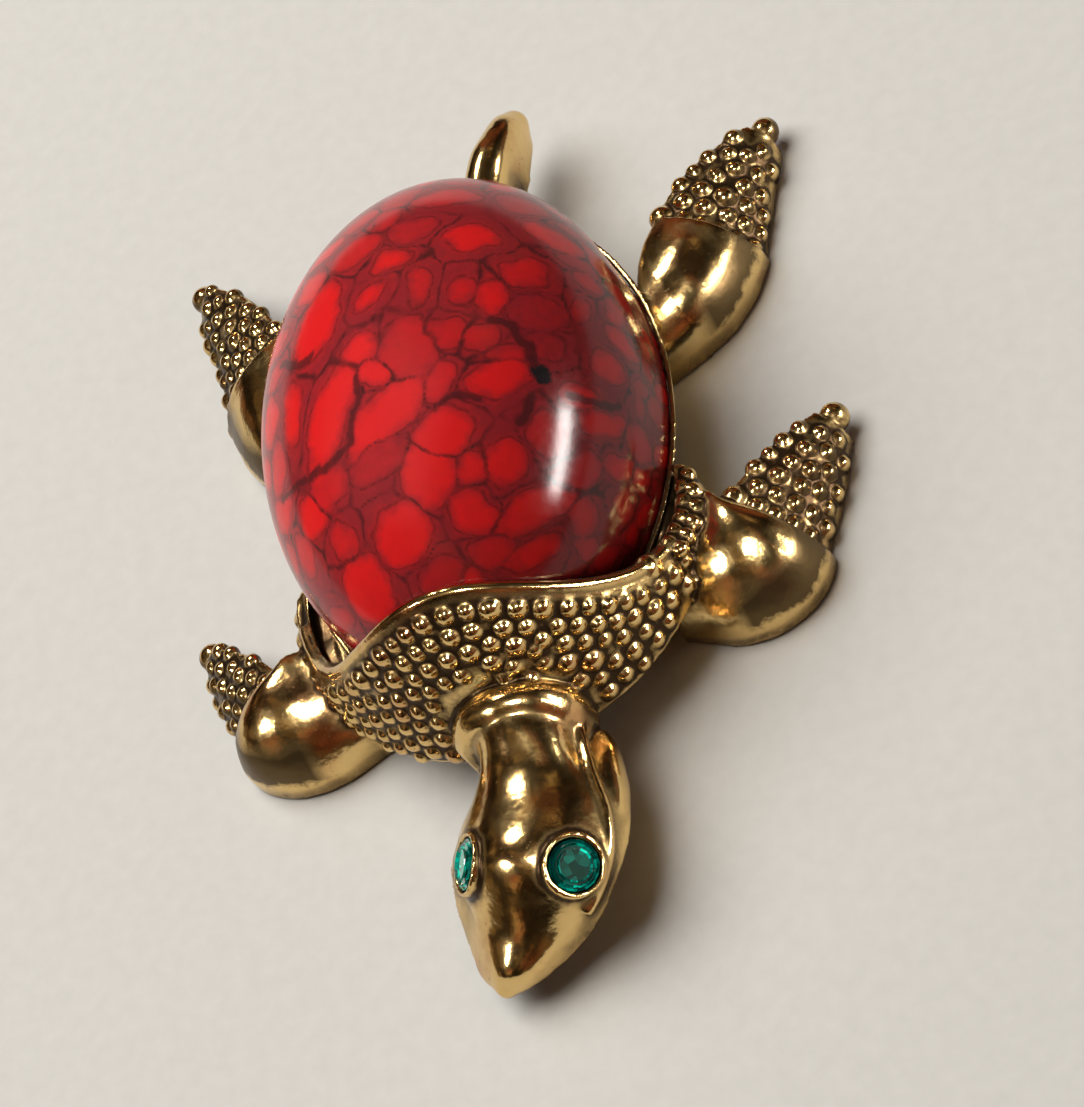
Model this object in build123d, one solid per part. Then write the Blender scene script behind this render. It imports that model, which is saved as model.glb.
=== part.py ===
from build123d import *
import math
import os

# Turtle brooch, millimetres, +Z up. It rests on Z = 0, its head points to -Y, and the
# origin lies under the centre of the stone. Left is -X and right is +X, as seen by someone
# whom it faces. Head, tail and flippers stand a little unevenly, as on the real one.

# Shell stone: an oval, high-domed cabochon with a steep side
stone_width = 25.0
stone_length = 35.0
stone_side = 4.1            # height of the steep side, from the seat to the widest line
stone_dome = 10.5           # height of the dome above that line
fit_gap = 0.05              # gap between pieces that are set into each other

# Tray and bezel under the stone
pin_height = 4.3            # room for the pin under the tray
tray_floor = 0.9            # metal under the stone
tray_skirt = 0.7            # rim that hangs below the tray's floor
skirt_wall = 1.2
bezel_wall = 0.45
tray_taper = 1.5            # how far the tray's side draws in below the bezel
bezel_lip = 0.8             # bezel height above the seat

# Granulated collar over the front of the stone
collar_rise = 9.8           # top of its arch above the seat
collar_spread = 1.1         # how far its foot stands out at each side of the stone
collar_front = 2.8          # how far its foot stands out in front of the stone
collar_setback = 7.0        # middle of the collar's ring, forward of the stone's centre
collar_wall = 0.95
collar_end = 5.4            # the collar's ends, forward of the stone's centre
collar_sweep = 58.0         # angle by which each end runs forward as it goes out
collar_narrowing = 0.30     # share of its half width that the collar loses up to its top
collar_shortening = 0.20    # share of its half length that it loses
collar_slide = 0.34         # share of the setback that its top gives up
rim_fullness = 0.65         # power of the top edge's bell: smaller is fuller
rim_band = 0.85             # from the collar's top edge down to the middle of its highest granules
end_band = 0.6              # the same at its ends
rim_granules_from = 10.6     # the right half of the top edge is granulated from here out

# Granules
granule_largest = 1.75
granule_smallest = 1.08
granule_uneven = 0.13       # share by which the wanted size goes up and down
granule_gap = 0.05
granule_sink = 0.40         # depth of a granule's centre under the surface, as a share of its radius
granule_lean = 0.35         # how far the collar's granules turn up towards its top
granule_search = 0.3        # distance between the spots that are tried

# Flippers
front_reach = 8.8           # from the root to the tip, sideways
front_span = 12.8           # from elbow to tip, along the body
front_rise = 5.7            # height of the trailing edge
rear_reach = 9.6
rear_span = 15.8
rear_rise = 4.7
shoulder_wall = 1.15        # depth of the pale side wall
blade_wall = 0.8
flipper_crown = 2.2         # bulge of the top over its edges
tip_knob = 1.9
tip_height = 1.45

# Neck and head
head_length = 15.5          # from the collar's foot to the nose
head_width = 10.6
head_crest = 6.0            # height of the edge line along the neck
head_crown = 3.3
jaw_depth = 2.6
nose_diameter = 1.6

# Eyes
eye_diameter = 3.1
eye_angle = 46.0            # lean of each eye to its side, from straight up
eye_forward = 0.25          # share by which an eye also faces forward
eye_rim = 0.36              # metal ring round an eye
eye_stand = 0.28            # height of that ring above the head
eye_back = 0.5              # how far the eyes stand behind the head's widest cross section
eye_table = 0.55            # share of the stone's width that is its flat table
eye_culet = 0.12            # share of the stone's width at its blunt point
eye_crown = 0.5
eye_girdle = 0.15
eye_pavilion = 0.95
eye_facets = 8

# Tail
tail_length = 9.6
tail_width = 3.4
tail_height = 5.8
tail_crown = 1.5
tail_wall = 3.0
tail_knob = 2.5

# Pin
bar_length = 26.0
bar_width = 4.0
bar_thick = 0.8
post_thick = 1.2
knuckle_diameter = 2.4
knuckle_length = 2.8
catch_diameter = 2.6
catch_wall = 0.5
catch_length = 2.2
catch_mouth = 1.0
catch_post_width = 1.6
stem_diameter = 0.9
stem_overhang = 1.8         # point of the stem past the catch

past = 1.0                  # how far a cutting or clipping block runs past the form

# Places worked out from the sizes
half_width = stone_width / 2
half_length = stone_length / 2
seat = pin_height + tray_floor
skirt_foot = pin_height - tray_skirt
lip_top = seat + bezel_lip
rim_top = seat + collar_rise
bezel_half_x = half_width + fit_gap + bezel_wall
bezel_half_y = half_length + fit_gap + bezel_wall
collar_half_x = half_width + collar_spread
collar_half_y = half_length + collar_front - collar_setback
collar_foot_y = -(half_length + collar_front)
front_root = (collar_half_x + 0.15, -(collar_setback + 1.0))
rear_root = (half_width - 1.25, 0.35 * half_length)


def oval(half_x, half_y, height):
    """A flat oval outline at a height, drawn from its long axis."""
    if half_x > half_y:
        return Plane((0, 0, height)) * Ellipse(half_x, half_y)
    return Plane((0, 0, height), x_dir=(0, 1, 0)) * Ellipse(half_y, half_x)


def oval_block(half_x, half_y, low, high, draw_in=0.0):
    """An oval block between two heights, drawn in towards its foot."""
    foot = oval(half_x - draw_in, half_y - draw_in, low).wire()
    return Solid.make_loft([foot, oval(half_x, half_y, high).wire()], ruled=True)


def cabochon(grow=0.0):
    """The domed stone; grow makes it larger all round, for the space it sits in."""
    radius = half_width + grow
    base = seat + fit_gap - grow
    widest = seat + fit_gap + stone_side
    top = widest + stone_dome + grow
    outline = [Line((0, base), (radius, base)), Line((radius, base), (radius, widest)),
               EllipticalCenterArc((0, widest), radius, top - widest, 0, arc_size=90),
               Line((0, top), (0, base))]
    turned = revolve(Plane.XZ * make_face(outline), Axis.Z, 360)
    return scale(turned, (1, (half_length + grow) / radius, 1)).solid()


def collar_ring(share, inset=0.0):
    """Height, centre and half axes of the collar at a share of the way from its foot to its top."""
    height = skirt_foot + share * (rim_top + past - skirt_foot)
    centre_y = -collar_setback * (1 - collar_slide * share)
    half_x = collar_half_x * (1 - collar_narrowing * share ** 2) - inset
    half_y = collar_half_y * (1 - collar_shortening * share ** 3) - inset
    return height, centre_y, half_x, half_y


def collar_bowl(inset=0.0):
    """The collar as a full bowl, before its arch is cut. Each ring starts at the back."""
    rings = []
    for share in (0.0, 0.25, 0.5, 0.75, 1.0):
        height, centre_y, half_x, half_y = collar_ring(share, inset)
        turns = [2 * math.pi * i / 16 for i in range(16)]
        points = [(half_x * math.sin(a), centre_y + half_y * math.cos(a), height) for a in turns]
        rings.append(Wire([Edge.make_spline(points, periodic=True)]))
    return Solid.make_loft(rings)


def rim_height(x):
    """Height of the collar's top edge: a bell that dies out at both ends."""
    share = min(abs(x) / bezel_half_x, 1.0)
    bell = (0.5 + 0.5 * math.cos(math.pi * share)) ** rim_fullness
    return lip_top + (rim_top - lip_top) * bell


def end_line(x):
    """How far forward the collar's ends are cut, at a distance from its middle."""
    return -collar_end + (bezel_half_x - abs(x)) * math.tan(math.radians(collar_sweep))


def arch_block():
    """Everything under the collar's top edge, in front of the collar's ends."""
    steps = 12
    points = [(bezel_half_x * (2 * i / steps - 1), 0) for i in range(steps + 1)]
    crest = Spline(*[(x, rim_height(x)) for x, _ in points])
    side = collar_half_x + past
    outline = [crest, Line(crest @ 1, (side, lip_top)), Line((side, lip_top), (side, skirt_foot)),
               Line((side, skirt_foot), (-side, skirt_foot)), Line((-side, skirt_foot), (-side, lip_top)),
               Line((-side, lip_top), crest @ 0)]
    face = Plane.XZ.offset(collar_end) * make_face(outline)
    block = extrude(face, half_length + collar_front, dir=(0, -1, 0))
    front = -2 * half_length
    half_base = bezel_half_x + (-collar_end - front) / math.tan(math.radians(collar_sweep))
    wedge = make_face(Polyline((0, end_line(0)), (half_base, front), (-half_base, front), close=True))
    return (block & (Pos(0, 0, skirt_foot - past) * extrude(wedge, rim_top + 2 * past))).solid()


def collar():
    """The collar's wall under its arch, with a floor that joins it to the tray."""
    floor = oval_block(half_length * 2, half_length * 2, skirt_foot - past, seat)
    return (collar_bowl() - (collar_bowl(collar_wall) - floor)) & arch_block()


def section(left, right, crown, wall, flare_left=0.0, flare_right=0.0):
    """A cross section of a cast form: a crowned top between two edge points, side walls, a flat foot."""
    left, right = Vector(*left), Vector(*right)
    span = right - left
    level = Vector(span.X, span.Y, 0).normalized()
    top = (left + right) * 0.5 + Vector(0, 0, crown)
    foot_left = left - level * flare_left - Vector(0, 0, wall)
    foot_right = right + level * flare_right - Vector(0, 0, wall)
    return Wire([Edge.make_three_point_arc(left, top, right), Edge.make_line(right, foot_right),
                 Edge.make_line(foot_right, foot_left), Edge.make_line(foot_left, left)])


# Flippers. Columns: edge next to the body x, y, height; outer edge x, y; crown.
# x is a share of the reach and y of the span, both from the root; height is a share
# of the rise and crown of the flipper's crown. The outer edge is one wall high.
front_shoulder = [
    (-0.28, 0.02, 0.92, -0.43, -0.49, 0.80),
    (-0.02, 0.00, 0.95, -0.07, -0.59, 0.95),
    (0.08, -0.02, 1.00, 0.30, -0.60, 1.05),
    (0.125, -0.05, 1.00, 0.60, -0.49, 1.00),
    (0.16, -0.08, 0.97, 0.72, -0.30, 0.75),
]
front_blade = [
    (0.16, -0.11, 0.88, 0.65, -0.33, 0.50),
    (0.216, -0.04, 0.88, 0.70, -0.234, 0.50),
    (0.443, 0.148, 0.76, 0.84, -0.016, 0.45),
    (0.648, 0.28, 0.62, 0.92, 0.156, 0.35),
    (0.807, 0.36, 0.50, 0.96, 0.28, 0.25),
]
front_tip = (0.885, 0.37)
rear_shoulder = [
    (-0.25, 0.15, 1.00, -0.115, -0.20, 0.40),
    (-0.04, 0.12, 1.03, 0.04, -0.12, 0.50),
    (0.03, 0.24, 1.00, 0.38, -0.005, 0.85),
    (0.08, 0.415, 0.97, 0.67, 0.175, 1.00),
    (0.21, 0.575, 0.94, 0.80, 0.37, 0.80),
]
rear_blade = [
    (0.15, 0.53, 0.87, 0.75, 0.33, 0.50),
    (0.24, 0.64, 0.87, 0.80, 0.43, 0.50),
    (0.46, 0.815, 0.78, 0.875, 0.656, 0.45),
    (0.69, 0.94, 0.67, 0.95, 0.82, 0.35),
    (0.845, 1.00, 0.57, 0.985, 0.925, 0.25),
]
rear_tip = (0.925, 1.0)


def flipper_point(root, reach, span, side, x, y, z):
    """A point of a flipper from its shares."""
    return side * (root[0] + x * reach), root[1] + y * span, z


def flipper_sections(rows, root, reach, span, rise, wall, side):
    """The cross sections of one half of a flipper."""
    cuts = []
    for inner_x, inner_y, inner_z, outer_x, outer_y, crown in rows:
        inner = flipper_point(root, reach, span, side, inner_x, inner_y, inner_z * rise)
        outer = flipper_point(root, reach, span, side, outer_x, outer_y, wall)
        left, right = (inner, outer) if side > 0 else (outer, inner)
        cuts.append(section(left, right, crown * flipper_crown, wall))
    return cuts


def top_face(form):
    """The crowned top of a lofted form."""
    return max(form.faces(), key=lambda face: face.area * face.normal_at(0.5, 0.5).Z)


def uneven(number):
    """A steady but irregular value from -1 to 1 for each whole number."""
    return 2 * (number * 0.618034 % 1) - 1


def granules(spots):
    """Balls raised from a surface. A spot is a point and its normal. The spots are tried in turn, and
    each granule is as large as its neighbours leave room for. Its seam is turned into the metal."""
    laid, balls = [], []
    for point, outward in spots:
        wanted = granule_largest / 2 * (1 - granule_uneven * (1 + uneven(len(laid))))
        room = [(point - other).length - radius - granule_gap for other, radius in laid]
        radius = min(room + [wanted])
        if radius > granule_smallest / 2:
            laid.append((point, radius))
            centre = point - outward * (granule_sink * radius)
            level = outward.cross(Vector(0, 0, 1) if abs(outward.Z) < 0.995 else Vector(1, 0, 0))
            balls.append(Solid.make_sphere(radius, Plane(centre, x_dir=outward * -1, z_dir=outward.cross(level))))
    return balls


def blade_spots(blade):
    """Spots all over the top of a flipper's blade, row by row along it."""
    top = top_face(blade)
    across = top.position_at(0, 0.5) - top.position_at(1, 0.5)
    along = top.position_at(0.5, 0) - top.position_at(0.5, 1)
    flip = along.length < across.length
    length = max(along.length, across.length)
    rows = round(length / granule_search)
    for row in range(3, rows - 1):
        v = row / rows
        ends = [top.position_at(*((v, u) if flip else (u, v))) for u in (0, 1)]
        columns = max(4, round((ends[1] - ends[0]).length / granule_search))
        for column in range(1, columns):
            u = column / columns
            spot = (v, u) if flip else (u, v)
            yield top.position_at(*spot), top.normal_at(*spot)


# The four flippers stand a little unevenly. Columns: kind, side, shift forward as a share
# of the span, shift to the left as a share of the reach, and how much the span is stretched.
flippers = [
    ("front", -1, 0.10, 0.017, 0.92),
    ("front", 1, -0.047, 0.017, 1.05),
    ("rear", -1, 0.028, 0.105, 1.12),
    ("rear", 1, -0.028, 0.075, 0.90),
]


def flipper(kind, side, forward, leftward, stretch):
    """Shoulder, granulated blade and rounded tip of one flipper."""
    if kind == "front":
        rows, edge, tip = front_shoulder, front_blade, front_tip
        root, reach, span, rise = front_root, front_reach, front_span, front_rise
    else:
        rows, edge, tip = rear_shoulder, rear_blade, rear_tip
        root, reach, span, rise = rear_root, rear_reach, rear_span, rear_rise
    root = (root[0] - side * leftward * reach, root[1] - forward * span)
    span *= stretch
    shoulder = Solid.make_loft(flipper_sections(rows, root, reach, span, rise, shoulder_wall, side))
    blade = Solid.make_loft(flipper_sections(edge, root, reach, span, rise, blade_wall, side))
    knob_at = flipper_point(root, reach, span, side, *tip, tip_height)
    knob = Solid.make_sphere(tip_knob / 2).moved(Location(knob_at))
    return [shoulder, blade.fuse(*granules(blade_spots(blade))), knob]


# Neck and head. Columns: left x, y; right x, y; height; crown; wall; flare of the left wall
# and of the right one. x and flare are shares of the head's width and y of its length from
# the collar's foot; height is a share of the neck's edge line. The head turns to the left.
head_rows = [
    (-0.31, 0.30, 0.42, 0.30, 1.07, 1.25, 1.00, 0.00, 0.00),
    (-0.26, 0.04, 0.44, 0.03, 1.00, 0.88, 1.00, 0.00, 0.00),
    (-0.235, -0.22, 0.485, -0.305, 0.98, 0.67, 1.00, 0.14, 0.11),
    (-0.34, -0.34, 0.54, -0.47, 0.93, 0.80, 0.70, 0.12, 0.07),
    (-0.38, -0.55, 0.445, -0.735, 0.83, 0.98, 0.60, 0.14, 0.00),
    (-0.35, -0.72, 0.195, -0.845, 0.70, 0.50, 0.80, 0.16, 0.00),
    (-0.345, -0.855, -0.035, -0.93, 0.55, 0.28, 0.60, 0.13, 0.00),
    (-0.325, -0.935, -0.215, -0.965, 0.46, 0.12, 0.45, 0.06, 0.00),
]
neck_row = 1
eye_row = 4
nose = (-0.29, -0.925, 0.33)

# Raised ring round the neck where it leaves the collar. Columns as for the head.
ring_rows = [
    (-0.275, 0.10, 0.455, 0.10, 1.00, 0.95, 1.00, 0.00, 0.00),
    (-0.31, 0.02, 0.49, 0.015, 1.06, 1.00, 1.00, 0.00, 0.00),
    (-0.27, -0.045, 0.45, -0.07, 1.00, 0.90, 1.00, 0.00, 0.00),
]

# Tail. Columns as for the head, with shares of the tail's width, length and height.
tail_rows = [
    (-0.20, -0.25, 0.70, -0.25, 0.90, 0.80, 1.0, 0.0, 0.0),
    (-0.08, 0.10, 0.80, 0.10, 0.97, 0.93, 1.0, 0.0, 0.0),
    (0.15, 0.42, 0.99, 0.40, 1.00, 1.00, 1.0, 0.0, 0.0),
    (0.46, 0.74, 1.22, 0.69, 0.97, 0.87, 1.0, 0.0, 0.0),
    (0.72, 0.93, 1.24, 0.86, 0.90, 0.55, 1.0, 0.0, 0.0),
]
tail_tip = (0.98, 0.90, 0.72)


def ridge_sections(rows, start, width, length, height, crown, wall):
    """The cross sections of the head or the tail from its table."""
    cuts = []
    for left_x, left_y, right_x, right_y, high, bulge, deep, flare_left, flare_right in rows:
        left = (left_x * width, start + left_y * length, high * height)
        right = (right_x * width, start + right_y * length, high * height)
        cuts.append(section(left, right, bulge * crown, deep * wall, flare_left * width, flare_right * width))
    return cuts


def head():
    """Neck and head, with the ring round the neck and the blunt nose."""
    form = Solid.make_loft(ridge_sections(head_rows, collar_foot_y, head_width, head_length,
                                          head_crest, head_crown, jaw_depth))
    tip = (nose[0] * head_width, collar_foot_y + nose[1] * head_length, nose[2] * head_crest)
    ring = Solid.make_loft(ridge_sections(ring_rows, collar_foot_y, head_width, head_length,
                                          head_crest, head_crown, jaw_depth))
    return [form, ring, Solid.make_sphere(nose_diameter / 2).moved(Location(tip))]


def tail():
    """The bent tail with its rounded end."""
    form = Solid.make_loft(ridge_sections(tail_rows, half_length, tail_width, tail_length,
                                          tail_height, tail_crown, tail_wall))
    tip = (tail_tip[0] * tail_width, half_length + tail_tip[1] * tail_length, tail_tip[2] * tail_height)
    return [form, Solid.make_sphere(tail_knob / 2).moved(Location(tip))]


def eye_plane(side):
    """The plane of an eye's setting on the crown of the head, facing out, up and a little forward."""
    left_x, left_y, right_x, right_y, high, bulge = head_rows[eye_row][:6]
    left = Vector(left_x * head_width, collar_foot_y + left_y * head_length)
    right = Vector(right_x * head_width, collar_foot_y + right_y * head_length)
    across = (right - left).normalized()
    forward = Vector(across.Y, -across.X)
    half = (right - left).length / 2
    rise = bulge * head_crown
    radius = (half ** 2 + rise ** 2) / (2 * rise)
    lean = math.radians(eye_angle)
    out = across * (side * math.sin(lean)) + Vector(0, 0, math.cos(lean))
    middle = (left + right) * 0.5 + Vector(0, 0, high * head_crest + rise - radius)
    middle -= forward * eye_back
    return Plane(middle + out * radius, x_dir=forward, z_dir=out + forward * eye_forward)


def eye_setting(side):
    """The raised ring of an eye's setting, and the hole for its stone."""
    plane = eye_plane(side)
    radius = eye_diameter / 2
    ring = plane * extrude(Circle(radius + fit_gap + eye_rim), eye_stand)
    root = plane * extrude(Circle(radius + fit_gap + eye_rim), -eye_rim * 2)
    depth = eye_pavilion + 2 * fit_gap
    hole = plane * (Pos(0, 0, -depth) * extrude(Circle(radius + fit_gap), depth + 2 * eye_stand))
    return [ring.solid(), root.solid()], hole.solid()


def eye_stone(side):
    """A round cut stone: table, crown facets, girdle and pavilion facets."""
    radius = eye_diameter / 2
    girdle = RegularPolygon(radius, eye_facets)
    table = Pos(0, 0, eye_girdle + eye_crown) * RegularPolygon(radius * eye_table, eye_facets)
    culet = Pos(0, 0, -eye_pavilion) * RegularPolygon(radius * eye_culet, eye_facets)
    middle = extrude(girdle, eye_girdle)
    crown = loft([Pos(0, 0, eye_girdle) * girdle, table], ruled=True)
    pavilion = loft([culet, girdle], ruled=True)
    return (eye_plane(side) * (middle + crown + pavilion)).solid()


def collar_spots():
    """Spots for the collar's granules: along its top edge on the right, then all over its wall from
    the top edge down, clear of its ends and of the neck."""
    neck_left, _, neck_right, _, neck_high, neck_bulge = ring_rows[1][:6]
    neck_top = neck_high * head_crest + neck_bulge * head_crown
    turns = [math.pi * (1 + i / 130) for i in range(131)]
    rise = rim_top + past - skirt_foot
    for angle in turns:
        share = 0.5
        for _ in range(8):
            _, centre_y, half_x, half_y = collar_ring(share, collar_wall / 2)
            share = (rim_height(half_x * math.cos(angle)) - skirt_foot) / rise
        x, y = half_x * math.cos(angle), centre_y + half_y * math.sin(angle)
        if x > rim_granules_from and rim_height(x) > lip_top + granule_smallest:
            slope = (rim_height(x + 0.1) - rim_height(x - 0.1)) / 0.2
            yield Vector(x, y, rim_height(x)), Vector(-slope, 0, 1).normalized()
    for drop in range(round(rise / granule_search)):
        for angle in turns:
            share = 0.5
            for _ in range(8):
                _, centre_y, half_x, half_y = collar_ring(share)
                height = rim_height(half_x * math.cos(angle)) - rim_band - drop * granule_search
                share = (height - skirt_foot) / rise
            x, y = half_x * math.cos(angle), centre_y + half_y * math.sin(angle)
            on_neck = neck_left * head_width < x < neck_right * head_width and height < neck_top
            if share > 0.02 and not on_neck and y < end_line(x) - end_band:
                level = Vector(math.cos(angle) / half_x, math.sin(angle) / half_y, 0).normalized()
                outward = Vector(level.X, level.Y, granule_lean * share).normalized()
                yield Vector(x, y, height), outward


def body_casting():
    """The whole gold-tone casting as one solid."""
    forms = [collar().fuse(*granules(collar_spots()))]
    for kind, side, forward, leftward, stretch in flippers:
        forms += flipper(kind, side, forward, leftward, stretch)
    forms += head() + tail()
    holes = [cabochon(fit_gap)]
    for side in (-1, 1):
        ring, hole = eye_setting(side)
        forms += ring
        holes.append(hole)
    recess_x, recess_y = bezel_half_x - tray_taper - skirt_wall, bezel_half_y - tray_taper - skirt_wall
    holes.append(oval_block(recess_x, recess_y, skirt_foot - past, pin_height))
    body = oval_block(bezel_half_x, bezel_half_y, skirt_foot, lip_top, tray_taper)
    for form in forms:
        body = body.fuse(form)
    for hole in holes:
        body = body.cut(hole)
    return body.solid()


def pin_back():
    """The fastening under the tray: bar, knuckle, stem and catch in one plain piece."""
    bar_top = pin_height - fit_gap
    end_y = bar_length / 2 - post_thick
    bar = Pos(0, 0, bar_top - bar_thick / 2) * Box(bar_width, bar_length, bar_thick)
    knuckle_r = knuckle_diameter / 2
    catch_r = catch_diameter / 2
    across = Rotation(0, 90, 0)
    knuckle = Pos(0, -end_y, knuckle_r) * across * Cylinder(knuckle_r, knuckle_length)
    knuckle_post = Pos(0, -end_y, (bar_top + knuckle_r) / 2) * Box(
        knuckle_length, post_thick, bar_top - knuckle_r)
    tube = Cylinder(catch_r, catch_length) - Cylinder(catch_r - catch_wall, catch_length)
    tube -= Pos(-catch_r / 2, -catch_r / 2, 0) * Box(catch_r, catch_mouth, catch_length)
    catch = Pos(0, end_y, catch_r) * Rotation(90, 0, 0) * tube
    catch_post = Pos(0, end_y, (bar_top + 2 * catch_r - catch_wall) / 2) * Box(
        catch_post_width, post_thick, bar_top - 2 * catch_r + catch_wall)
    stem_length = 2 * end_y + stem_overhang
    stem = Cylinder(stem_diameter / 2, stem_length)
    stem = Pos(0, stem_overhang / 2, knuckle_r) * Rotation(90, 0, 0) * stem
    return (bar + knuckle + knuckle_post + catch + catch_post + stem).solid()


def nodes():
    """Every piece by its name."""
    return {
        "body_casting": body_casting(),
        "shell_cabochon": cabochon(),
        "eye_stone_left": eye_stone(-1),
        "eye_stone_right": eye_stone(1),
        "pin_back": pin_back(),
    }


if __name__ == "__main__":
    os.makedirs("parts", exist_ok=True)
    for name, piece in nodes().items():
        export_step(piece, f"parts/{name}.step")
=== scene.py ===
import math

import bpy
import numpy as np
from mathutils import Matrix, Vector


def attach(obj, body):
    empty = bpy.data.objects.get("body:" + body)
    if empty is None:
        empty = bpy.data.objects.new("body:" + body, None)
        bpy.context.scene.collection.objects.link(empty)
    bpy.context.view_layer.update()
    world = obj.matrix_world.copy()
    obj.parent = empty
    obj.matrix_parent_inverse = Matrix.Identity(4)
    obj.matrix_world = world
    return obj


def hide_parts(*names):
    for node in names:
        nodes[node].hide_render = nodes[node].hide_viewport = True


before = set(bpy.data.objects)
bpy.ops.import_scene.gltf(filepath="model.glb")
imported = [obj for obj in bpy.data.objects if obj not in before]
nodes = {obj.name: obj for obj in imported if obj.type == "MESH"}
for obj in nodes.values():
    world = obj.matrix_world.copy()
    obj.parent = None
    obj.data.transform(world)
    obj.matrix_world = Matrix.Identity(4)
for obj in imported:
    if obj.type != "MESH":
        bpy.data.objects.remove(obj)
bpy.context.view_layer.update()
mm = 0.001

# Camera. The brooch is seen from above its head, a little from the right, as a hand-held
# camera at about arm's length sees it.
view_azimuth = math.radians(29.9)
view_elevation = math.radians(50.0)
view_roll = math.radians(-42.1)
view_distance = 289.67 * mm
aim_height = 3.5 * mm
aim_shift = Vector((2.56 * mm, -4.85 * mm, 0))
bpy.ops.object.camera_add()
camera = bpy.context.object
turn = (Matrix.Rotation(view_azimuth, 4, "Z")
        @ Matrix.Rotation(math.pi / 2 - view_elevation, 4, "X")
        @ Matrix.Rotation(view_roll, 4, "Z"))
camera.matrix_world = Matrix.Translation((0, 0, aim_height)) @ turn @ Matrix.Translation(
    aim_shift + Vector((0, 0, view_distance)))
camera.data.lens = 151.5
camera.data.clip_start = 10 * mm
camera.data.clip_end = 5.0
bpy.context.scene.camera = camera


# Floor. A wide flat sheet of pale matt card.
class Socket:
    """A shader output that adds Math nodes when it is used in an expression."""

    def __init__(self, tree, output):
        self.tree, self.output = tree, output

    def math(self, operation, other, first=False):
        node = self.tree.nodes.new("ShaderNodeMath")
        node.operation = operation
        pair = [self, other] if not first else [other, self]
        for value, socket in zip(pair, node.inputs):
            if isinstance(value, Socket):
                self.tree.links.new(value.output, socket)
            else:
                socket.default_value = value
        return Socket(self.tree, node.outputs[0])

    def __add__(self, other):
        return self.math("ADD", other)

    def __radd__(self, other):
        return self.math("ADD", other)

    def __sub__(self, other):
        return self.math("SUBTRACT", other)

    def __rsub__(self, other):
        return self.math("SUBTRACT", other, first=True)

    def __mul__(self, other):
        return self.math("MULTIPLY", other)

    def __rmul__(self, other):
        return self.math("MULTIPLY", other)

    def __pow__(self, other):
        return self.math("POWER", other)

    def low(self, other):
        return self.math("MINIMUM", other)

    def high(self, other):
        return self.math("MAXIMUM", other)

    def held(self):
        """The value, kept between 0 and 1."""
        return self.high(0.0).low(1.0)


class Finish:
    """A material under construction."""

    def __init__(self, name):
        self.material = bpy.data.materials.new(name)
        self.material.use_nodes = True
        self.tree = self.material.node_tree
        self.shader = self.tree.nodes["Principled BSDF"]

    def node(self, kind, settings=None, **values):
        """Adds a node: settings first, then values or links by the socket's name. Returns its outputs."""
        node = self.tree.nodes.new(kind)
        for key, value in (settings or {}).items():
            if key == "stops":
                ramp = node.color_ramp
                for i, (place, colour) in enumerate(value):
                    stop = ramp.elements[i] if i < 2 else ramp.elements.new(place)
                    stop.position, stop.color = place, colour
            else:
                setattr(node, key, value)
        self.fill(node, values)
        return {o.identifier: Socket(self.tree, o) for o in node.outputs}

    def fill(self, node, values):
        for key, value in values.items():
            socket = next(i for i in node.inputs if i.identifier == key or i.name == key.replace("_", " "))
            if isinstance(value, Socket):
                self.tree.links.new(value.output, socket)
            else:
                socket.default_value = value

    def surface(self, **values):
        self.fill(self.shader, values)

    def mix(self, share, first, second):
        """Mixes two colours by a share from 0 for the first to 1 for the second."""
        node = self.tree.nodes.new("ShaderNodeMix")
        node.data_type = "RGBA"
        for socket, value in ((node.inputs[0], share), (node.inputs[6], first), (node.inputs[7], second)):
            if isinstance(value, Socket):
                self.tree.links.new(value.output, socket)
            else:
                socket.default_value = value
        return Socket(self.tree, node.outputs[2])


bpy.ops.object.select_all(action="DESELECT")
bpy.ops.mesh.primitive_plane_add(size=2.4)
floor = bpy.context.object
floor.name = "floor"
card = Finish("pale_card")
place = card.node("ShaderNodeTexCoord")["Object"]
fibre = card.node("ShaderNodeTexNoise", Vector=place, Scale=900.0, Detail=5.0)["Fac"]
card.surface(
    Base_Color=card.mix(fibre, (0.50, 0.50, 0.48, 1), (0.57, 0.57, 0.55, 1)),
    Roughness=0.9)
floor.data.materials.append(card.material)


# Light. A dim warm room with a soft light from the upper left, which the polished pieces do not
# mirror, a long low window on the right that they only mirror, and small lamps on the metal.
scene = bpy.context.scene
scene.view_settings.view_transform = "Standard"


class Room(Finish):
    """The world under construction."""

    def __init__(self, name):
        self.world = bpy.data.worlds.new(name)
        self.world.use_nodes = True
        self.tree = self.world.node_tree
        self.shader = self.tree.nodes["Background"]


room = Room("warm_room")
outlook = room.node("ShaderNodeTexCoord")["Generated"]
things = room.node("ShaderNodeTexNoise", Vector=outlook, Scale=2.3, Detail=4.0, Roughness=0.6)["Fac"]
hue = room.node("ShaderNodeTexNoise", Vector=outlook, Scale=1.4, Detail=1.0)["Fac"]
walls = room.node("ShaderNodeValToRGB", {"stops": [
    (0.40, (0.006, 0.004, 0.002, 1)), (0.72, (0.55, 0.42, 0.26, 1)),
    (0.51, (0.028, 0.017, 0.009, 1)), (0.60, (0.15, 0.095, 0.045, 1))]}, Fac=things)["Color"]
rust = room.node("ShaderNodeValToRGB", {"stops": [
    (0.42, (0.008, 0.004, 0.003, 1)), (0.66, (0.30, 0.10, 0.05, 1))]}, Fac=things)["Color"]
room.surface(Color=room.mix(((hue - 0.5) * 7.0).held(), walls, rust), Strength=1.0)
scene.world = room.world
lamp_light = bpy.data.collections.new("lit_by_the_lamps")


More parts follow.
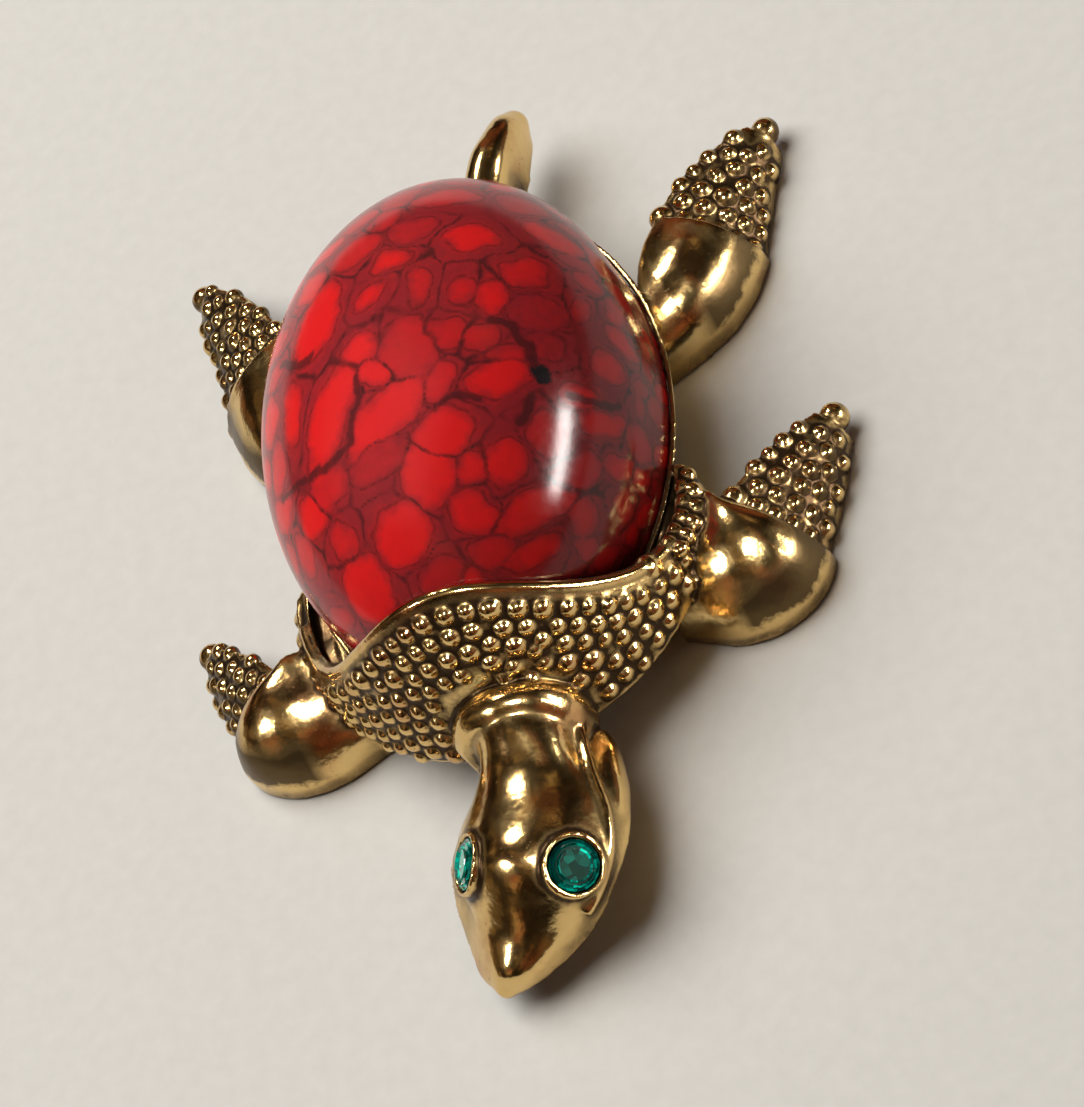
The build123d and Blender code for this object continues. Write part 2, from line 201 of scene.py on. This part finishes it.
def soft_box(name, azimuth, elevation, size, power, colour=(1.0, 0.97, 0.93), distance=0.9):
    """An area light that faces the brooch from a direction."""
    a, e = math.radians(azimuth), math.radians(elevation)
    away = Vector((math.sin(a) * math.cos(e), -math.cos(a) * math.cos(e), math.sin(e)))
    bpy.ops.object.light_add(type="AREA", location=away * distance)
    lamp = bpy.context.object
    lamp.name = name
    lamp.rotation_euler = away.to_track_quat("Z", "Y").to_euler()
    lamp.data.shape = "RECTANGLE"
    lamp.data.size, lamp.data.size_y = size
    lamp.data.energy = power
    lamp.data.color = colour
    return lamp


window = soft_box("window", 88, 20, (0.46, 0.13), 9)
window.visible_diffuse = False
ceiling = soft_box("ceiling", 240, 60, (0.9, 0.9), 15)
ceiling.visible_glossy = False
for name, azimuth, elevation, size, power in (
        ("lamp_behind", 205, 55, (0.15, 0.15), 4.5),
        ("lamp_left", 300, 45, (0.12, 0.12), 3),
        ("lamp_front", 25, 66, (0.17, 0.17), 7),
        ("lamp_right", 70, 31, (0.03, 0.10), 0.8)):
    lamp = soft_box(name, azimuth, elevation, size, power)
    lamp.light_linking.receiver_collection = lamp_light


# Casting. Gold-tone metal poured in one piece, then polished on its smooth parts, with dark
# tarnish left in every recess and painted shade deepening the recesses and the shoulders' flanks.
# The collar's rim is rolled, a crest runs down the right side of the head, and the throat bulges outside it.
bpy.ops.object.select_all(action="DESELECT")
casting = bpy.data.objects.new("casting", nodes["body_casting"].data.copy())
bpy.context.collection.objects.link(casting)
casting.select_set(True)
bpy.context.view_layer.objects.active = casting
bpy.ops.object.mode_set(mode="EDIT")
bpy.ops.mesh.select_all(action="SELECT")
bpy.ops.mesh.remove_doubles(threshold=0.001 * mm)
bpy.ops.object.mode_set(mode="OBJECT")


def bead(name, points, radius):
    """A round bead of metal along a smooth line; points in millimetres."""
    bpy.ops.object.select_all(action="DESELECT")
    curve = bpy.data.curves.new(name, "CURVE")
    curve.dimensions = "3D"
    line = curve.splines.new("NURBS")
    line.points.add(len(points) - 1)
    for spot, point in zip(line.points, points):
        spot.co = [c * mm for c in point] + [1]
    line.order_u = 3
    line.use_endpoint_u = True
    curve.bevel_depth = radius * mm
    curve.bevel_resolution = 3
    curve.use_fill_caps = True
    piece = bpy.data.objects.new(name, curve)
    bpy.context.collection.objects.link(piece)
    piece.select_set(True)
    bpy.context.view_layer.objects.active = piece
    bpy.ops.object.convert(target="MESH")
    return bpy.context.object


# The collar's ring, in millimetres: half width and length at its foot, distance forward of the
# stone's middle, and half of the wall. Its top edge is a bell, as wide and high as given here.
collar_half_width, collar_half_length, collar_forward, half_wall = 13.6, 13.3, 7.0, 0.475
bell_half_width, bell_foot, bell_height, bell_power = 13.0, 6.0, 9.0, 0.65
ring_foot, ring_height = 3.6, 12.4


def rim_line(angle):
    """Middle of the collar's top edge at an angle round its ring, in millimetres. The ring draws
    in and slides back as it rises, so width and height are found in turns."""
    share = 0.5
    for _ in range(12):
        half_x = collar_half_width * (1 - 0.30 * share ** 2) - half_wall
        half_y = collar_half_length * (1 - 0.20 * share ** 3) - half_wall
        x = half_x * math.cos(angle)
        bell = 0.5 + 0.5 * math.cos(math.pi * min(abs(x) / bell_half_width, 1.0))
        height = bell_foot + bell_height * bell ** bell_power
        share = (height - ring_foot) / ring_height
    return x, -collar_forward * (1 - 0.34 * share) + half_y * math.sin(angle), height


rim_angles = [math.radians(a) for a in range(188, 341, 3)]
extras = [bead("rolled_rim", [rim_line(a) for a in rim_angles], 0.42)]
right_crest = [(4.5, -19.6, 5.8), (4.8, -22.3, 5.85), (5.25, -25.0, 5.85), (5.85, -27.6, 5.6),
               (5.6, -29.8, 5.25), (4.8, -31.8, 4.9), (3.4, -32.8, 4.4)]
extras.append(bead("right_crest", right_crest, 0.36))
throat = ((5.1, -25.2, 3.8), (1.4, 4.7, 1.5), 0)
snout_end = ((-2.55, -33.35, 2.45), (1.8, 1.5, 1.15), -18)
for middle, half_sizes, turned in (throat, snout_end):
    bpy.ops.object.select_all(action="DESELECT")
    bpy.ops.mesh.primitive_uv_sphere_add(
        segments=32, ring_count=16, radius=mm, location=[c * mm for c in middle],
        rotation=(0, 0, math.radians(turned)), scale=half_sizes)
    extras.append(bpy.context.object)
# Granules on the collar's right end, then above the neck, in millimetres. Columns: x, y, z, radius.
for x, y, z, radius in (
        (13.15, -6.3, 5.75, 0.60), (12.75, -7.1, 5.95, 0.56), (13.35, -7.5, 5.75, 0.66),
        (12.75, -8.2, 5.95, 0.60), (13.4, -8.7, 5.7, 0.64), (12.65, -9.3, 6.1, 0.60),
        (13.2, -9.8, 5.9, 0.62), (12.15, -10.3, 6.35, 0.58), (12.8, -10.8, 6.15, 0.62),
        (11.9, -11.3, 6.75, 0.56), (12.5, -11.8, 6.6, 0.60),
        (3.97, -17.75, 10.0, 0.60), (4.04, -18.14, 8.9, 0.56), (3.01, -18.57, 8.55, 0.56),
        (1.68, -18.54, 9.4, 0.60)):
    bpy.ops.object.select_all(action="DESELECT")
    bpy.ops.mesh.primitive_uv_sphere_add(segments=24, ring_count=12, radius=radius * mm,
                                         location=(x * mm, y * mm, z * mm), scale=(1, 1, 0.9))
    extras.append(bpy.context.object)
for piece in extras + [casting]:
    piece.select_set(True)
bpy.context.view_layer.objects.active = casting
bpy.ops.object.join()


def shape_with(piece, kind, **settings):
    """Adds a modifier to a piece and applies it."""
    bpy.context.view_layer.objects.active = piece
    step = piece.modifiers.new(kind.lower(), kind)
    for key, value in settings.items():
        setattr(step, key, value)
    bpy.ops.object.modifier_apply(modifier=step.name)


def points_of(piece):
    """The piece's vertices as an array, in millimetres."""
    flat = np.empty(len(piece.data.vertices) * 3)
    piece.data.vertices.foreach_get("co", flat)
    return flat.reshape(-1, 3) / mm


shape_with(casting, "REMESH", mode="VOXEL", voxel_size=0.125 * mm)
shape_with(casting, "SMOOTH", factor=0.5, iterations=5)
# Places that are smoothed more, fading out towards their reach. Columns: name, places and reach
# in millimetres, passes.
for name, places, reach, passes in (
        ("crest", right_crest, 1.7, 24),
        ("nose", [(-3.07, -34.8, 2.2), (-2.5, -33.2, 2.5)], 3.4, 90),
        ("tail_end", [(3.33, 26.1, 5.0)], 4.2, 320)):
    group = casting.vertex_groups.new(name=name)
    away = np.min([np.linalg.norm(points_of(casting) - place, axis=1) for place in places], axis=0) / reach
    for limit, weight in ((1.0, 0.2), (0.88, 0.45), (0.76, 0.75), (0.64, 1.0)):
        group.add(np.flatnonzero(away < limit).tolist(), weight, "REPLACE")
    shape_with(casting, "SMOOTH", factor=0.5, iterations=passes, vertex_group=name)
stone_half_width, stone_half_length, clear_of_stone = 12.5, 17.5, 1.14
spots = points_of(casting)
limbs = np.hypot(spots[:, 0] / stone_half_width, spots[:, 1] / stone_half_length) > clear_of_stone
group = casting.vertex_groups.new(name="limbs")
group.add(np.flatnonzero(limbs).tolist(), 1.0, "REPLACE")
waves = bpy.data.textures.new("uneven_cast", "CLOUDS")
waves.noise_scale = 3.2 * mm
waves.noise_depth = 1
shape_with(casting, "DISPLACE", texture=waves, strength=0.22 * mm, mid_level=0.5, vertex_group="limbs")
kept_faces = 97000
shape_with(casting, "DECIMATE", ratio=min(1.0, kept_faces / len(casting.data.polygons)))
casting.vertex_groups.clear()

# How far each point stands out of a smoother copy tells raised places from recesses.
bpy.ops.object.select_all(action="DESELECT")
casting.select_set(True)
bpy.ops.object.duplicate()
worn = bpy.context.object
shape_with(worn, "SMOOTH", factor=0.5, iterations=24)
normals = np.empty(len(worn.data.vertices) * 3)
worn.data.vertices.foreach_get("normal", normals)
relief = ((points_of(casting) - points_of(worn)) * normals.reshape(-1, 3)).sum(axis=1)
bpy.data.objects.remove(worn)
ends = np.empty(len(casting.data.edges) * 2, dtype=np.int32)
casting.data.edges.foreach_get("vertices", ends)
ends = ends.reshape(-1, 2)


def spread(values, passes):
    """Averages values with their neighbours' along the mesh, so many times."""
    count = len(values)
    links = np.bincount(ends.ravel(), minlength=count)
    for _ in range(passes):
        sums = (np.bincount(ends[:, 0], values[ends[:, 1]], count)
                + np.bincount(ends[:, 1], values[ends[:, 0]], count))
        values = (values + sums / links) / 2
    return values


wide = 60
relief = relief - spread(relief, wide)
busy = spread(np.abs(relief), wide)
plain_relief, relief_step = 0.014, 0.012
for name, values in (
        ("relief", relief / (busy + 0.01)),
        ("grained", ((busy - plain_relief) / relief_step).clip(0, 1))):
    casting.data.attributes.new(name, "FLOAT", "POINT").data.foreach_set("value", values.astype(np.float32))
bpy.context.view_layer.objects.active = casting
casting.select_set(True)
bpy.ops.object.shade_smooth()
casting.data.materials.clear()

gold = Finish("antique_gold")
per_metre = 1000.0
place = gold.node("ShaderNodeTexCoord")["Object"]
# Painted shade: two ambient occlusion masks darken the colour in narrow gaps and in deep recesses, such as
# between the stone and the collar's wall, on top of the tarnish that the relief gives the hollows between
# granules.
near_occlusion_shade = gold.node("ShaderNodeAmbientOcclusion", {"samples": 6}, Distance=0.9 * mm)["AO"]
shade = gold.node("ShaderNodeAmbientOcclusion", {"samples": 6}, Distance=4.0 * mm)["AO"]
patches = gold.node("ShaderNodeTexNoise", Vector=place, Scale=260.0, Detail=3.0)["Fac"]
mottle = gold.node("ShaderNodeTexNoise", Vector=place, Scale=1500.0, Detail=5.0, Roughness=0.65)["Fac"]
specks = gold.node("ShaderNodeTexNoise", Vector=place, Scale=3800.0, Detail=2.0)["Fac"]
relief = gold.node("ShaderNodeAttribute", {"attribute_name": "relief"})["Fac"]
grained = gold.node("ShaderNodeAttribute", {"attribute_name": "grained"})["Fac"]
hollow = (0.25 - relief + (mottle - 0.5) * 1.4).held() * grained
deep_painted_shade = ((1.0 - shade) * 3.2 - 0.95 + (mottle - 0.5) * 0.6).held()
recess_patina_and_shade = hollow.high((1.0 - near_occlusion_shade) * 2.4 - 0.6 + (mottle - 0.5) * 0.8).high(deep_painted_shade).held()
pits = ((specks - 0.66) * 14.0).held() * ((patches - 0.45) * 6.0).held()
# Painted shade: the steep flanks of the shoulders are darkened above a pale strip at their lower edge.
at = gold.node("ShaderNodeSeparateXYZ", Vector=place)
facing = gold.node("ShaderNodeSeparateXYZ", Vector=gold.node("ShaderNodeNewGeometry")["Normal"])
steep = ((0.74 - facing["Z"]) * 6.0).held()
raised = ((at["Z"] * per_metre - 1.35 + (patches - 0.5) * 2.4 + (mottle - 0.5) * 1.6) * 2.0).held()
outer = (at["X"].high(0.0 - at["X"]) * per_metre - 13.8).held()
flank_painted_shade = steep * raised * outer * (at["Y"] * per_metre + 20.5).held()
# The dark mix is tarnish in the hollows and pits, together with painted shade in the recesses and on the
# shoulders' flanks.
tarnish_and_painted_shade = recess_patina_and_shade.high(pits * 0.8).high(flank_painted_shade * 0.9)
warm = ((patches - 0.52) * 5.0 + (mottle - 0.5) * 1.2).held()
metal = gold.mix(warm, (0.75, 0.52, 0.21, 1), (0.56, 0.31, 0.13, 1))
swell = gold.node("ShaderNodeTexNoise", Vector=place, Scale=520.0, Detail=3.0)["Fac"]
bump = gold.node("ShaderNodeBump", Height=swell + mottle * 0.2, Distance=0.10 * mm, Strength=0.65)["Normal"]
gold.surface(
    Base_Color=gold.mix(tarnish_and_painted_shade, metal, (0.042, 0.024, 0.011, 1)),
    Metallic=1.0 - tarnish_and_painted_shade * 0.06,
    Roughness=0.15 + tarnish_and_painted_shade * 0.22 + (mottle - 0.5) * 0.10,
    Normal=bump)
casting.data.materials.append(gold.material)
lamp_light.objects.link(casting)
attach(casting, "root")
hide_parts("body_casting")


# Shell stone. Moulded resin marbled like a red matrix stone: bright cells in a dark ground,
# thin brown veins between them and one black spot, under a clear gloss. It is set in the
# bezel and held down by the collar.
stone_base, stone_widest, stone_dome = 5.25, 9.35, 10.5
bpy.ops.object.select_all(action="DESELECT")
bpy.ops.mesh.primitive_uv_sphere_add(segments=320, ring_count=224, radius=1.0)
stone = bpy.context.object
stone.name = "marbled_stone"
ball = points_of(stone) * mm
tall = ball[:, 2].clip(0, 1)
under = (-ball[:, 2]).clip(0, 1)
reach = np.hypot(ball[:, 0], ball[:, 1])
side_share = 0.7
drop = (under / side_share).clip(0, 1)
inward = ((under - side_share) / (1 - side_share)).clip(0, 1)
spread = np.where(ball[:, 2] >= 0, reach, 1 - inward) / reach.clip(1e-6)
stone_points = np.stack([
    ball[:, 0] * spread * stone_half_width,
    ball[:, 1] * spread * stone_half_length,
    stone_widest + tall * stone_dome - drop * (stone_widest - stone_base)], axis=1)
stone.data.vertices.foreach_set("co", (stone_points * mm).ravel())
bpy.ops.object.shade_smooth_by_angle(angle=math.radians(50))

# Larger cells, charted and given in millimetres over the stone's plan. Columns: x, y, half
# length, half width, angle in degrees, brightness.
cells = [
    (5.6, 7.0, 1.3, 1.2, 0, 1.0), (9.6, 7.4, 1.9, 1.1, -15, 1.0), (-4.6, 4.0, 2.6, 1.7, 75, 1.0),
    (0.8, 6.3, 0.9, 0.65, 0, 0.9), (-0.6, 4.0, 0.7, 0.5, 30, 0.95), (6.8, 1.8, 1.0, 0.7, 90, 1.0),
    (5.2, 2.5, 0.8, 0.6, 90, 0.7), (2.3, 3.3, 1.1, 0.5, 90, 0.6), (1.7, -1.2, 1.9, 1.5, 90, 0.55),
    (-1.5, -0.2, 1.2, 0.95, 20, 0.95), (-0.5, -1.9, 1.0, 0.7, 0, 0.95), (3.3, -3.8, 1.0, 0.85, 90, 0.75),
    (6.7, -3.9, 1.7, 1.1, 20, 1.0), (7.4, -2.5, 1.0, 0.5, 0, 0.6), (11.6, -2.1, 1.3, 0.9, -20, 0.95),
    (12.0, 2.4, 1.4, 0.7, 90, 0.9), (-4.0, -3.4, 3.2, 1.1, 55, 1.0), (-7.1, -1.6, 1.9, 0.8, 80, 1.0),
    (-0.3, -5.0, 2.9, 1.3, 35, 1.0), (3.0, -7.1, 1.6, 1.4, 0, 1.0), (1.6, -9.4, 1.8, 1.4, 90, 1.0),
    (4.2, -9.3, 0.9, 0.8, 0, 0.9), (-1.3, -7.7, 1.7, 1.1, 10, 0.35), (-5.2, -7.5, 1.7, 1.3, 30, 0.6),
    (6.1, -9.2, 1.4, 1.2, 90, 1.0), (7.0, -11.6, 2.8, 1.1, 15, 1.0), (11.0, -6.0, 1.6, 0.9, 0, 1.0),
    (11.0, -7.9, 1.4, 0.8, 0, 1.0), (-6.8, -8.4, 1.25, 1.25, 0, 1.0), (-0.9, -12.0, 2.0, 1.8, 0, 1.0),
    (-4.9, -10.8, 1.1, 0.7, 90, 0.6), (-8.3, -9.5, 1.5, 1.0, 80, 0.6), (-4.2, -13.7, 2.5, 2.1, 90, 1.0),
    (0.6, -14.5, 1.5, 1.2, 0, 0.4), (3.9, -13.8, 1.2, 1.0, 0, 0.6), (6.2, -13.6, 1.7, 0.8, 10, 1.0),
    (10.4, -9.7, 1.5, 1.0, 90, 0.6), (8.9, -12.8, 1.2, 0.9, 0, 0.6), (-9.1, -3.8, 1.6, 0.9, 80, 0.7),
    (1.9, 8.7, 1.4, 1.1, 0, 0.35), (3.6, 11.6, 1.8, 1.1, 0, 0.6), (-2.1, 8.4, 1.6, 1.2, 0, 0.55),
    (7.7, 10.8, 1.7, 1.3, 0, 0.35), (11.2, 4.0, 0.9, 0.8, 0, 0.6), (10.7, 5.5, 1.2, 0.6, 0, 0.4),
    (4.1, -0.6, 1.0, 0.8, 0, 0.5), (5.7, -1.1, 0.9, 0.8, 0, 0.5), (9.0, 0.6, 1.6, 1.3, 0, 0.15),
    (9.3, -1.9, 1.0, 0.8, 0, 0.1)]
# Dark veins. Columns: half width, points.
veins = [
    (0.26, [(8.8, -3.8), (8.5, -1.9), (7.5, -0.4), (6.4, 0.1)]),
    (0.16, [(3.0, -5.4), (4.2, -5.2), (5.5, -5.5)]),
    (0.16, [(-1.8, -1.8), (-2.1, -3.6), (-3.0, -5.6), (-5.9, -6.4), (-9.0, -5.6)]),
    (0.20, [(-5.4, 1.4), (-6.6, 2.2), (-7.9, 2.8)]),
    (0.26, [(9.8, -4.9), (11.6, -4.5)]),
    (0.20, [(7.1, -6.7), (7.6, -5.8), (8.1, -5.2)])]
black_spot = np.array([8.8, -3.8])
black_spot_radius = 0.62


def unrolled(x, y, below=0.0):
    """Plan places on the dome, spread out by how far down its side they lie."""
    share = np.hypot(x / stone_half_width, y / stone_half_length).clip(1e-6, 1)
    slope = np.arcsin(share) + below / stone_dome
    return np.stack([x * slope / share, y * slope / share], axis=-1)


def ripple(spots, step, seed):
    """A smooth irregular shift of places, as two numbers from -1 to 1."""
    u, v = spots[:, 0] / step, spots[:, 1] / step
    first = np.sin(2.1 * u + 1.3 * v + seed) + np.sin(-1.2 * u + 2.4 * v + 2.3 * seed)
    second = np.sin(1.7 * v - 1.1 * u + 4.1 * seed) + np.sin(2.6 * u + 0.9 * v + 1.7 * seed)
    return np.stack([first + np.sin(first * 2 + v), second + np.sin(second * 2 + u)], axis=1) / 3


flat = unrolled(stone_points[:, 0], stone_points[:, 1],
                np.where(ball[:, 2] < 0, drop * (stone_widest - stone_base), 0.0))
flat = flat + 0.38 * ripple(flat, 2.6, 1.0) + 0.16 * ripple(flat, 0.9, 2.0)
# Smaller cells, laid by chance in staggered rows wherever the larger ones leave room.
table = [(*unrolled(np.float64(x), np.float64(y)), *rest) for x, y, *rest in cells]
dice = np.random.default_rng(11)
column_step, row_step, jolt = 1.7, 1.5, 0.5
for row in range(-22, 23):
    for column in range(-17, 18):
        x = (column + 0.5 * (row % 2)) * column_step + dice.uniform(-jolt, jolt)
        y = row * row_step + dice.uniform(-jolt, jolt)
        size, turn, tone = dice.uniform(0.9, 1.9), dice.uniform(0, 180), dice.uniform(0.3, 1.1)
        if all(math.hypot(x - c[0], y - c[1]) > 1.0 + 0.5 * (c[2] + c[3]) + 0.55 * size for c in table):
            table.append((x, y, size, size * 0.7, turn, min(tone, 1.0)))
far_off = 99.0
nearest = np.full(len(flat), far_off)
second = np.full(len(flat), far_off)
tone = np.zeros(len(flat))
for x, y, half_long, half_wide, angle, bright in table:
    c, s = math.cos(math.radians(angle)), math.sin(math.radians(angle))
    du, dv = flat[:, 0] - x, flat[:, 1] - y
    far = np.hypot((du * c + dv * s) / half_long, (dv * c - du * s) / half_wide)
    away = (far - 1) * half_wide
    closer = away < nearest
    second = np.where(closer, nearest, np.minimum(second, away))
    tone = np.where(closer, bright, tone)
    nearest = np.where(closer, away, nearest)
stain = np.full(len(flat), far_off)
for width, line in veins:
    places = [unrolled(np.float64(x), np.float64(y)) for x, y in line]
    for start, end in zip(places, places[1:]):
        run = end - start
        along = ((flat - start) @ run / (run @ run)).clip(0, 1)
        gap = np.linalg.norm(flat - start - along[:, None] * run, axis=1) - width
        stain = np.minimum(stain, gap)
spot = np.linalg.norm(flat - unrolled(*black_spot), axis=1) - black_spot_radius
for name, values in (("cell_depth", -nearest), ("cell_gap", second - nearest), ("cell_tone", tone),
                     ("vein_gap", stain), ("spot_gap", spot)):
    stone.data.attributes.new(name, "FLOAT", "POINT").data.foreach_set("value", values.astype(np.float32))

red = Finish("marbled_red")
place = red.node("ShaderNodeTexCoord")["Object"]
cloud = red.node("ShaderNodeTexNoise", Vector=place, Scale=330.0, Detail=3.0)["Fac"]
grit = red.node("ShaderNodeTexNoise", Vector=place, Scale=1700.0, Detail=5.0, Roughness=0.6)["Fac"]
dust = red.node("ShaderNodeTexNoise", Vector=place, Scale=7000.0, Detail=3.0)["Fac"]
seen = {name: red.node("ShaderNodeAttribute", {"attribute_name": name})["Fac"]
        for name in ("cell_depth", "cell_gap", "cell_tone", "vein_gap", "spot_gap")}
rough = (grit - 0.5) * 0.7 + (dust - 0.5) * 0.25
depth = seen["cell_depth"] + 0.45
inside = ((depth + rough * 0.8) * 1.1 + 0.35).held()
core = ((depth - 0.15 + rough * 0.5) * 0.9 + 0.35).held()
bright = (seen["cell_tone"] * inside * (core * 0.55 + 0.45) + (grit - 0.5) * 0.55 + (cloud - 0.5) * 0.5)
bright = bright.held()
strong = ((cloud - 0.34) * 5.0).high(0.25).low(1.0)
crack = (1.15 - (seen["cell_gap"] + rough * 0.5).high(0.0) * 3.6).held() * strong
edge = depth - 0.10 + rough * 0.5
outline = (1.0 - edge.high(0.0 - edge) * 6.0).high(0.0) * 0.75 * ((grit - 0.38) * 6.0).held()
line = (1.0 - (seen["vein_gap"] + rough * 0.6).high(0.0) * 4.0).held()
dark = crack.high(outline).high(line * 0.9)
ink = (1.0 - (seen["spot_gap"] + rough * 1.3).high(0.0) * 3.0).held()
ground = red.mix(bright, (0.220, 0.015, 0.019, 1), (0.560, 0.012, 0.013, 1))
ground = red.mix(dark * 0.85, ground, (0.040, 0.010, 0.011, 1))
ground = red.mix(ink * 0.95, ground, (0.010, 0.012, 0.014, 1))
skin = red.node("ShaderNodeBump", Height=grit + dust * 0.5, Distance=0.012 * mm, Strength=0.35)["Normal"]
red.surface(
    Base_Color=ground,
    Roughness=0.17 + (grit - 0.5) * 0.16,
    IOR=1.36,
    Normal=skin)
stone.data.materials.append(red.material)
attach(stone, "root")
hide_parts("shell_cabochon")


# Eyes. Round brilliants in emerald green glass, cut with a flat table and three rows of facets
# above the girdle, one pressed into the ring on each side of the head.
green = Finish("green_glass")
# Painted reflections: each facet and each small cell inside the stone gets its own brightness from noise, so a
# few shine bright green as if light came back through the glass.
facing = green.node("ShaderNodeNewGeometry")["True Normal"]
facet = green.node("ShaderNodeVectorMath", {"operation": "SNAP"}, Vector=facing, Vector_001=(0.02, 0.02, 0.02))
facet_painted_flash = green.node("ShaderNodeTexWhiteNoise", {"noise_dimensions": "3D"}, Vector=facet["Vector"])["Value"]
place = green.node("ShaderNodeTexCoord")["Object"]
inner = green.node("ShaderNodeTexVoronoi", Vector=place, Scale=1900.0)["Color"]
ripples = green.node("ShaderNodeTexNoise", Vector=place, Scale=1100.0, Detail=1.0)["Fac"]
painted_inner_glint = green.node("ShaderNodeSeparateColor", Color=inner)["Red"]
green.surface(
    Base_Color=green.mix((facet_painted_flash * 0.5 + painted_inner_glint * 0.5) ** 4.0, (0.0, 0.030, 0.024, 1), (0.0, 0.85, 0.62, 1)),
    Roughness=0.08, Coat_Weight=1.0, Coat_Roughness=0.03,
    Normal=green.node("ShaderNodeBump", Height=ripples, Distance=0.02 * mm, Strength=0.6)["Normal"])


def seat_of(piece):
    """Where a packed stone sits: the foot of its girdle, and the ways that its table and one of the
    table's corners face."""
    faces = piece.data.polygons
    table = max(faces, key=lambda face: sum(f.area for f in faces if f.normal.dot(face.normal) > 0.999))
    out = table.normal
    corners = sorted({tuple(v.co) for v in piece.data.vertices
                      if (v.co - table.center).dot(out) > -0.01 * mm})
    middle = Vector(np.mean(corners, axis=0))
    return middle - out * (crown_height + girdle_height) * mm, out, Vector(corners[0]) - middle


eye_radius, girdle_height, crown_height, eye_sides = 1.53, 0.15, 0.50, 16
crown_rows = ((0.86, 0.17), (0.78, 0.19), (0.64, 0.14))
pavilion_rows = ((0.66, -0.45), (0.25, -0.45))
for name, node_name in (("left_brilliant", "eye_stone_left"), ("right_brilliant", "eye_stone_right")):
    bpy.ops.object.select_all(action="DESELECT")
    bpy.ops.mesh.primitive_cylinder_add(vertices=eye_sides, radius=eye_radius * mm, depth=girdle_height * mm,
                                        location=(0, 0, girdle_height / 2 * mm))
    eye = bpy.context.object
    eye.name = name
    bpy.ops.object.transform_apply(location=True)
    for side, steps in ((1, crown_rows), (-1, pavilion_rows)):
        for face in eye.data.polygons:
            face.select = face.normal.z * side > 0.9
        bpy.ops.object.mode_set(mode="EDIT")
        for shrink, rise in steps:
            bpy.ops.mesh.extrude_region_move(TRANSFORM_OT_translate={"value": (0, 0, rise * mm)})
            bpy.ops.transform.resize(value=(shrink, shrink, 1))
            bpy.ops.transform.rotate(value=math.pi / eye_sides, orient_axis="Z", center_override=(0, 0, 0))
        bpy.ops.object.mode_set(mode="OBJECT")
    bpy.ops.object.mode_set(mode="EDIT")
    bpy.ops.mesh.select_all(action="SELECT")
    bpy.ops.mesh.quads_convert_to_tris(quad_method="SHORTEST_DIAGONAL")
    bpy.ops.object.mode_set(mode="OBJECT")
    foot, out, corner = seat_of(nodes[node_name])
    forward = corner.normalized()
    turn = Matrix((forward, out.cross(forward), out)).transposed().to_4x4()
    eye.data.transform(Matrix.Translation(foot) @ turn)
    eye.data.materials.append(green.material)
    lamp_light.objects.link(eye)
    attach(eye, "root")
    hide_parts(node_name)


# Pin. The fastening under the tray, in the same metal, duller.
brass = Finish("pin_brass")
place = brass.node("ShaderNodeTexCoord")["Object"]
wear = brass.node("ShaderNodeTexNoise", Vector=place, Scale=700.0, Detail=5.0)["Fac"]
brass.surface(
    Base_Color=brass.mix(wear, (0.50, 0.34, 0.14, 1), (0.74, 0.54, 0.26, 1)),
    Metallic=1.0, Roughness=0.22 + wear * 0.2)
nodes["pin_back"].data.materials.clear()
nodes["pin_back"].data.materials.append(brass.material)
